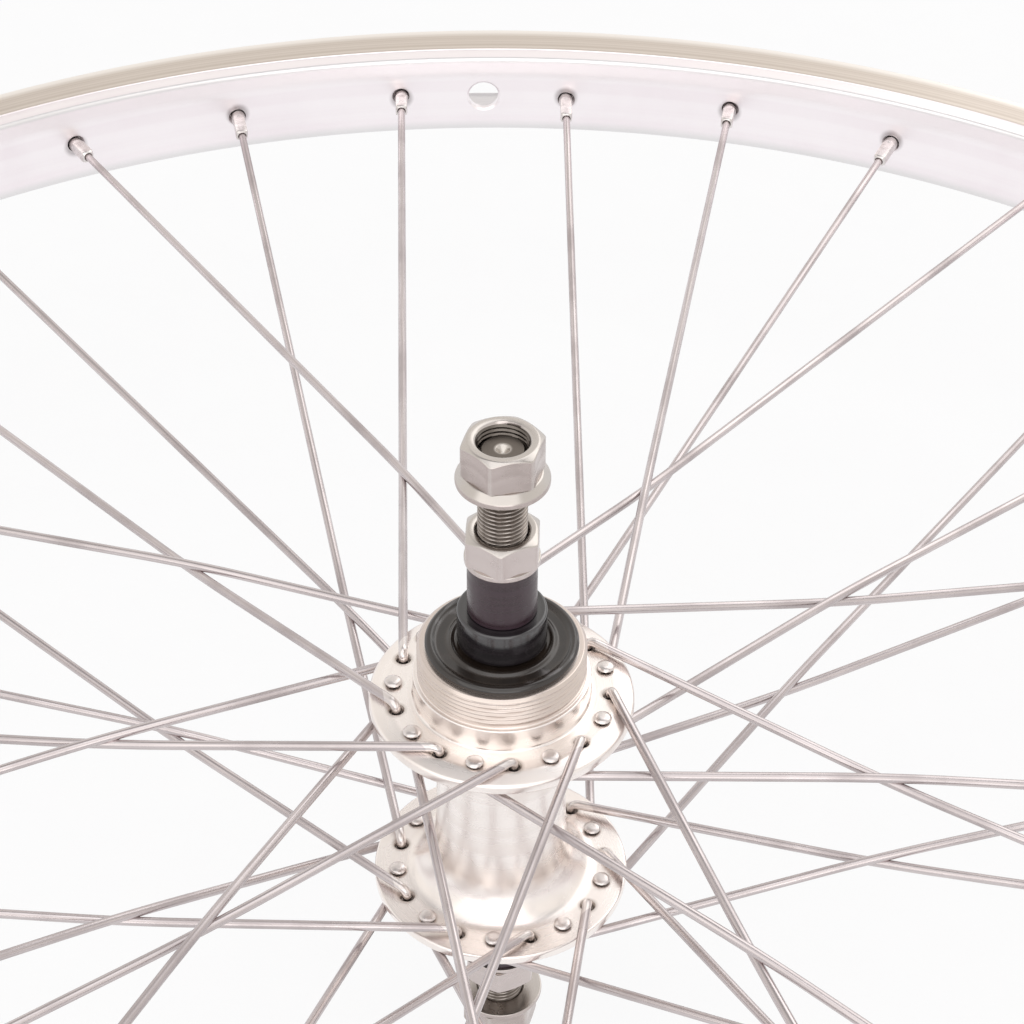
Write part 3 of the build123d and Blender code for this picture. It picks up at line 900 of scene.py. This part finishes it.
# Darker round each nipple hole.
at_nipples = place_group(
    tree, darkening,
    {"Ring radius": SPOKE_FACE_R, "Holes": 36.0, "First angle": RIM_STEP / 2, "Radius weight": 0.3,
     "Height weight": 1.0, "Plain from": 3.9, "Dark within": 2.2},
)["Mask"]
tint(shader, at_nipples, NIPPLE_HOLE_DARK, 0.55)
add_piece("rim_hoop", hoop, "rim", rim_satin)
print("material:", rim_satin.name, len(tree.nodes), "nodes")

# %% [markdown]
# ## Hub shell
# The shell is turned from one piece of alloy: a waisted barrel, two flanges with eighteen holes each, a
# plain boss on the left and a threaded boss with a stop shoulder for a freewheel on the drive side. The
# thread is real: the boss is lowered along a helix, one groove for every twenty-fourth of an inch.

# %% Hub form
HUB_COLUMNS = 180
FREEWHEEL_R = 17.45
FREEWHEEL_PITCH = 25.4 / 24
FREEWHEEL_DEPTH = 0.42
STOP_FACE_Z = 27.1
THREAD_LOW, THREAD_HIGH = 27.9, 33.7
THREAD_ROW = 0.1
FLANGE_DRILL = ((-3.2, 1.75), (-1.65, 1.75), (-1.2, 1.32), (1.2, 1.32), (1.65, 1.75), (3.2, 1.75))


def groove(heights, angles, pitch):
    """0 on the crest of a right-hand thread and 1 at its root."""
    turn = (heights / pitch - angles / (2 * pi)) % 1.0
    return np.clip(1.5 * (1 - np.abs(2 * turn - 1)) - 0.25, 0, 1)


def between(values, low, high, soft):
    """1 between two values, fading to 0 over a soft length outside them."""
    return np.clip((values - low) / soft + 1, 0, 1) * np.clip((high - values) / soft + 1, 0, 1)


def straight(r, low, high, step):
    """Rows of unrounded corners up a straight wall."""
    count = round(abs(high - low) / step)
    return [(r, low + (high - low) * index / count, 0) for index in range(count + 1)]


HUB_CORNERS = [
    (16.0, -42.1, 0.5), (16.0, -33.6, 0.9), (24.0, -33.6, 0.6), (27.5, -32.6, 0.7), (27.5, -30.4, 0.6),
    (19.0, -30.4, 2.2), (14.5, -25.4, 3.5), (13.5, -6.0, 14.0), (14.5, 13.4, 3.5), (19.0, 18.4, 2.2),
    (27.5, 18.4, 0.6), (27.5, 20.6, 0.7), (24.0, 21.6, 0.6), (18.4, 21.6, 0.7),
    (18.4, STOP_FACE_Z, 0.35), (FREEWHEEL_R, STOP_FACE_Z, 0.2),
    *straight(FREEWHEEL_R, THREAD_LOW - 0.3, THREAD_HIGH + 0.1, THREAD_ROW), (FREEWHEEL_R, 33.9, 0.1),
    (16.85, 34.5, 0.15), (13.0, 34.5, 0.2), (13.0, 24.7, 0), (10.0, 24.7, 0.2), (10.0, -32.3, 0.2),
    (13.0, -32.3, 0), (13.0, -42.1, 0.2),
]


def cut_freewheel_thread(radii, heights, angles):
    """Lowers the drive boss along its helix."""
    on_boss = (np.abs(radii - FREEWHEEL_R) < 0.02) & (heights > STOP_FACE_Z - 0.1)
    depth = FREEWHEEL_DEPTH * groove(heights, angles, FREEWHEEL_PITCH)
    return radii - on_boss * depth * between(heights, THREAD_LOW, THREAD_HIGH, 0.2)


shell = turned_mesh("hub_body", soften(HUB_CORNERS), HUB_COLUMNS, cut_freewheel_thread)
flange_places = []
for head, *_ in routes.values():
    hole = Vector((head.x, head.y, FLANGE_Z[1 if head.z > 0 else -1]))
    flange_places += round_the_wheel(Matrix.Translation(hole * MM))
shell = drilled(shell, "flange_drill", FLANGE_DRILL, flange_places)
print("hub shell:", len(shell.polygons), "faces,", len(flange_places), "spoke holes")

# %% [markdown]
# The shell is polished and bright, with a warm tint, and mirrors paper and room. The colour darkens round
# the spoke holes. The holes of the two flanges are half a step apart, so each flange gets its own copy of
# the group, weighted by height so that neither marks the other. The threaded boss keeps a brown film of
# old grease.

# %% Hub finish
FIRST_HOLE = {1: 15.0, -1: 5.0}
FLANGE_HOLE_DARK = rgb(0.30, 0.24, 0.20)
BOSS_FROM_Z = 27.4
BOSS_OUTSIDE_R = 15.9
BOSS_FILM = rgb(0.58, 0.49, 0.44)

hub_polish, tree, shader = turned_metal(
    "polished_hub_alloy", colour=(0.97, 0.915, 0.885), shade=(0.92, 0.85, 0.805), gloss=0.24, dull=0.40,
    lines=2.2, relief_mm=0.006, patch=14.0,
)
# Darker round the spoke holes of each flange.
for side, first_angle in FIRST_HOLE.items():
    at_holes = place_group(
        tree, darkening,
        {"Ring radius": HOLE_CIRCLE_R, "Holes": 18.0, "First angle": first_angle, "Height": FLANGE_Z[side],
         "Height weight": 0.12, "Plain from": 2.6, "Dark within": 1.4},
    )["Mask"]
    tint(shader, at_holes, FLANGE_HOLE_DARK, 0.6)
radius, height, _ = place_mm(tree)
outside = calc(tree, "GREATER_THAN", radius, BOSS_OUTSIDE_R)
on_boss = times(tree, spread(tree, height, BOSS_FROM_Z - 0.5, BOSS_FROM_Z + 0.5), outside)
tint(shader, on_boss, BOSS_FILM, 0.75)
add_piece("hub_body", shell, "hub_shell", hub_polish)
print("material:", hub_polish.name, len(tree.nodes), "nodes")

# %% [markdown]
# ## Dust caps
# A black moulded cap closes each end of the shell, with a raised rim, one concentric rib and a hole that
# clears the collar. Its gloss is what shows: bright curved reflections on a nearly black ground, so the
# plastic is very smooth with a faint moulded grain, and dust dulls its floor. Collar and sleeve are dark
# and glossy too, so one function makes all three.

# %% Dark glossy finishes
PALE_WEAR = rgb(0.10, 0.09, 0.09)
MOULDED_GRAIN = 0.004


def black_gloss(name, colour, dusty, gloss, dull, patch, index):
    """A dark glossy coat of one optical index, with a film that dulls it and pale wear on its edges."""
    made, tree, shader = new_surface(name)
    shader.inputs["IOR"].default_value = index
    film = place_group(tree, haze, {"Patch mm": patch, "From": 0.45, "To": 0.75})["Mask"]
    rings = place_group(tree, turning, {"Lines per mm": 5.0, "Broad lines per mm": 0.7})
    tone = times(tree, calc(tree, "ADD", film, rings["Tone"]), 0.5)
    plug(tree, shader.inputs["Base Color"], mix_colour(tree, tone, rgb(*colour), rgb(*dusty)))
    tint(shader, place_group(tree, worn, {"From": 0.53, "To": 0.66})["Mask"], PALE_WEAR)
    plug(tree, shader.inputs["Roughness"], spread(tree, tone, 0.0, 1.0, gloss, dull))
    add_relief(shader, rings["Height"], MOULDED_GRAIN)
    return made


cap_black = black_gloss(
    "moulded_black_cap", colour=(0.014, 0.009, 0.007), dusty=(0.042, 0.030, 0.023), gloss=0.12, dull=0.30,
    patch=6.0, index=1.68,
)
collar_black = black_gloss(
    "black_seal_collar", colour=(0.006, 0.004, 0.006), dusty=(0.022, 0.017, 0.020), gloss=0.10, dull=0.26,
    patch=5.0, index=1.9,
)
sleeve_plum = black_gloss(
    "dark_plated_sleeve", colour=(0.026, 0.009, 0.015), dusty=(0.046, 0.024, 0.034), gloss=0.24, dull=0.40,
    patch=9.0, index=1.6,
)
print("materials:", cap_black.name, collar_black.name, sleeve_plum.name)

# %% Caps
STACK_COLUMNS = 96
SIDES = {"drive": 1, "left": -1}
CAP_SEAT = 1.5
CAP_RIB = 0.6


def both_ends(kinds):
    """End, side, kind, node, and inner and outer height in millimetres outwards, of nodes on the axle."""
    for end, side in SIDES.items():
        for kind in kinds:
            node = f"{end}_{kind}"
            low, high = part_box(node)
            yield end, side, kind, node, *sorted((side * low.z / MM, side * high.z / MM))


def axle_ring(node, corners, side):
    """A turned ring from corners given outwards from the middle, at its own end of the axle."""
    return turned_mesh(node, soften([(r, side * z, rounding) for r, z, rounding in corners]), STACK_COLUMNS)


for end, side, _, node, inner, outer in both_ends(["dust_cap"]):
    shell_end = inner + CAP_SEAT
    floor_z = outer - CAP_RIB
    corners = [
        (7.5, inner, 0.15), (13.0, inner, 0.2), (13.0, shell_end, 0), (15.8, shell_end, 0.2),
        (15.8, floor_z, 0.25), (15.2, outer, 0.35), (14.3, outer, 0.35), (13.7, floor_z, 0.4),
        (11.4, floor_z, 0.35), (10.6, outer, 0.35), (9.8, floor_z, 0.35), (7.5, floor_z, 0.2),
    ]
    add_piece(f"{end}_cap_ring", axle_ring(node, corners, side), node, cap_black)
    print(node, "stands", round(outer - shell_end, 2), "mm proud of the shell")

# %% [markdown]
# ## Collars, sleeves and washers
# Outwards from each cap sit a black seal collar, a dark plated sleeve, a lock washer and, beyond the
# locknut and the gap for the frame, the washer under the axle nut. All are plain turned rings, made real
# by a small rounding on every edge and by rings of tool marks. Their heights are read from the solids. A
# ring is written as outer radius, edge rounding and finish.

# %% Rings on the axle
AXLE_R = 5.0
BORE_GAP = 0.03
NUT_GAP = 0.05
RINGS = {
    "seal_collar": (9.2, 0.6, collar_black),
    "spacer_sleeve": (7.1, 0.35, sleeve_plum),
    "lock_washer": (7.7, 0.25, nut_zinc),
    "nut_washer": (9.4, 0.30, nut_zinc),
}
FOOT_EDGE = 0.15
MOUTH_EDGE = 0.3
COLLAR_NECK_R = 7.0
COLLAR_START = {"drive": 36.4, "left": 44.0}
WASHER_EDGE = 1.1
WASHER_TOP_R = 7.9
for end, side, kind, node, inner, outer in both_ends(RINGS):
    outer_r, edge, finish = RINGS[kind]
    bore_r = AXLE_R + (NUT_GAP if kind == "nut_washer" else BORE_GAP)
    foot = [(outer_r, inner, min(edge, MOUTH_EDGE))]
    top = [(outer_r, outer, edge)]
    if kind == "seal_collar":
        neck_end = COLLAR_START[end]
        foot = [(COLLAR_NECK_R, inner, FOOT_EDGE), (COLLAR_NECK_R, neck_end, FOOT_EDGE)]
        foot += [(outer_r, neck_end, MOUTH_EDGE)]
    if kind == "nut_washer":
        top = [(outer_r, inner + WASHER_EDGE, edge), (WASHER_TOP_R, outer, 0.25)]
    corners = [(bore_r, inner, FOOT_EDGE), *foot, *top, (bore_r, outer, MOUTH_EDGE)]
    add_piece(f"{node}_ring", axle_ring(node, corners, side), node, finish)
    print(node, round(inner, 2), "to", round(outer, 2), "mm")

# %% [markdown]
# ## Nuts
# A hexagon nut is turned and milled: six flats, and a cone that takes off the corners at the outward end.
# Both are one formula here: three pairs of flats give a radius for every angle, the cone another for every
# height, and the smaller wins, softly where they meet. The axle nuts are threaded inside, which shows
# beyond the axle's end. A nut is written as width over flats, turn in degrees, bore and whether its thread
# is cut.

# %% Hexagon nuts
HEX_COLUMNS = 168
HEX_CRISP = 34.0
CONE_CRISP = 120.0
NUT_CONE = 1.6
CONE_TILT = radians(30)
CONE_STEPS = 8
BORE_ROW = 0.125
BORE_MOUTH = 0.6
BORE_ENDS = 1.0
AXLE_PITCH = 1.0
NUT_GROOVE = 0.34
NUTS = {"locknut": (14.5, 26.0, AXLE_R + BORE_GAP, False), "axle_nut": (15.0, 12.0, AXLE_R + NUT_GAP, True)}


def hex_reach(angles, flats, turn):
    """Radius of a hexagon with slightly soft corners, by angle."""
    total = np.zeros_like(angles)
    for pair in range(3):
        normal = radians(turn + 30 + 60 * pair)
        total += np.abs(np.cos(angles - normal)) ** HEX_CRISP
    return flats / 2 / total ** (1 / HEX_CRISP)


def smaller(first, second):
    """The smaller of two radii, with a soft change from one to the other."""
    return (first**-CONE_CRISP + second**-CONE_CRISP) ** (-1 / CONE_CRISP)


def nut_mesh(name, side, inner, outer, flats, turn, bore_r, threaded):
    """A hexagon nut between two heights along the axle."""
    corner_r = flats / 3**0.5
    cone_drop = NUT_CONE * tan(CONE_TILT)
    rows = [(bore_r + 0.5, inner), (corner_r - 0.5, inner)]
    rows += [(corner_r - 0.15, inner + 0.03), (corner_r, inner + 0.2)]
    for step in range(CONE_STEPS + 1):
        t = step / CONE_STEPS
        rows.append((corner_r - NUT_CONE * t, outer - cone_drop * (1 - t)))
    rows += [(corner_r - NUT_CONE - 0.25, outer), (bore_r + 0.75, outer), (bore_r + 0.6, outer - 0.06)]
    bore_length = outer - inner - BORE_ENDS
    steps = round(bore_length / BORE_ROW)
    rows += [(bore_r, outer - BORE_MOUTH - bore_length * index / steps) for index in range(steps + 1)]

    def shape(radii, heights, angles):
        milled = smaller(radii, hex_reach(angles, flats, turn))
        on_bore = radii < bore_r + 0.01
        depth = NUT_GROOVE * groove(heights, angles, AXLE_PITCH) if threaded else 0.0
        return np.where(on_bore, radii + depth, np.where(radii > bore_r + 1.0, milled, radii))

    return turned_mesh(name, [(r, side * z) for r, z in rows], HEX_COLUMNS, shape)


for _, side, kind, node, inner, outer in both_ends(NUTS):
    mesh = nut_mesh(node, side, inner, outer, *NUTS[kind])
    add_piece(f"{node}_hex", mesh, node, nut_zinc)
    print(node, len(mesh.polygons), "faces, top at", round(outer, 2), "mm")

# %% [markdown]
# ## Axle
# The solid axle is a steel rod with a rolled thread of one millimetre pitch. Only its ends show, between
# locknut and axle nut, so the helix is cut there and the middle stays a plain rod inside the hub. Each end
# has a chamfer and the small centre hole that the lathe held it by, written as radius and depth.

# %% Axle form
AXLE_COLUMNS = 72
AXLE_HALF = 85.0
AXLE_POINT = 0.8
THREAD_FROM = 60.0
THREAD_DEPTH = 0.58
ROD_ROW = 0.1
ROD_MIDDLE = np.linspace(50, -50, 11)
CENTRE_HOLE = ((0.0, 1.6), (0.55, 1.0), (1.35, 0.1), (1.5, 0.0))


def cut_axle_thread(radii, heights, angles):
    """Lowers the rod along its helix near both ends."""
    on_wall = radii > AXLE_R - 0.05
    depth = THREAD_DEPTH * groove(heights, angles, AXLE_PITCH)
    return radii - on_wall * depth * between(np.abs(heights), THREAD_FROM, AXLE_HALF - AXLE_POINT, 0.3)


def rod_end(side):
    """Rows of one end of the rod, from the middle of its face to the start of its thread."""
    rows = [(r, AXLE_HALF - depth) for r, depth in CENTRE_HOLE]
    rows += [(AXLE_R - AXLE_POINT - 0.15, AXLE_HALF), (AXLE_R - AXLE_POINT, AXLE_HALF - 0.05)]
    wall = straight(AXLE_R, AXLE_HALF - AXLE_POINT, THREAD_FROM - 1.0, ROD_ROW)
    return [(r, side * z) for r, z in rows + [(r, z) for r, z, _ in wall]]


rod_rows = rod_end(1) + [(AXLE_R, z) for z in ROD_MIDDLE] + rod_end(-1)[::-1]
rod = turned_mesh("axle_rod", rod_rows, AXLE_COLUMNS, cut_axle_thread, closed=False)
print("axle:", len(rod.polygons), "faces")

# %% [markdown]
# Black oxide stays in the roots of the thread and rubs off the crests. The end faces are dark, and the
# centre hole is bare metal, where the tip of the lathe ran, painted lighter as its highlight too.

# %% Axle finish
CREST = (AXLE_R - 0.16, AXLE_R - 0.02)
CREST_STEEL = rgb(0.54, 0.49, 0.46)
END_FACE = (AXLE_HALF - AXLE_POINT, AXLE_HALF - AXLE_POINT + 0.1)
END_OXIDE = rgb(0.17, 0.148, 0.13)
CENTRE_ZONE = (2.0, 1.2)
CENTRE_BARE_AND_HIGHLIGHT = rgb(0.62, 0.58, 0.54)

axle_black, tree, shader = turned_metal(
    "black_oxide_thread", colour=(0.27, 0.235, 0.21), shade=(0.16, 0.14, 0.125), gloss=0.28, dull=0.46,
    lines=3.0, relief_mm=0.006, patch=6.0,
)
radius, height, _ = place_mm(tree)
tint(shader, spread(tree, radius, *CREST), CREST_STEEL, 0.8)
tint(shader, spread(tree, calc(tree, "ABSOLUTE", height), *END_FACE), END_OXIDE)
# Bare metal in the centre hole, painted light as a highlight too.
tint(shader, spread(tree, radius, *CENTRE_ZONE), CENTRE_BARE_AND_HIGHLIGHT)
add_piece("axle_rod", rod, "axle", axle_black)
print("material:", axle_black.name, len(tree.nodes), "nodes")

# %% [markdown]
# ## Bearings
# The races of the two sealed bearings and the tube between them are hidden behind the caps. Their solids
# have the right shape already, so they stay as they are and only get a ground-steel finish.

# %% Races and spacer tube
race_ground, _, _ = turned_metal(
    "ground_race", colour=(0.62, 0.62, 0.63), shade=(0.48, 0.48, 0.50), gloss=0.14, dull=0.28,
    lines=6.0, relief_mm=0.004, patch=8.0,
)
race_nodes = [node for node, slot in slot_of_node.items() if slot == "race_steel"]
for node in race_nodes:
    race_mesh = frame["nodes"][node].data
    race_mesh.materials.clear()
    race_mesh.materials.append(race_ground)
print("ground steel on", sorted(race_nodes))
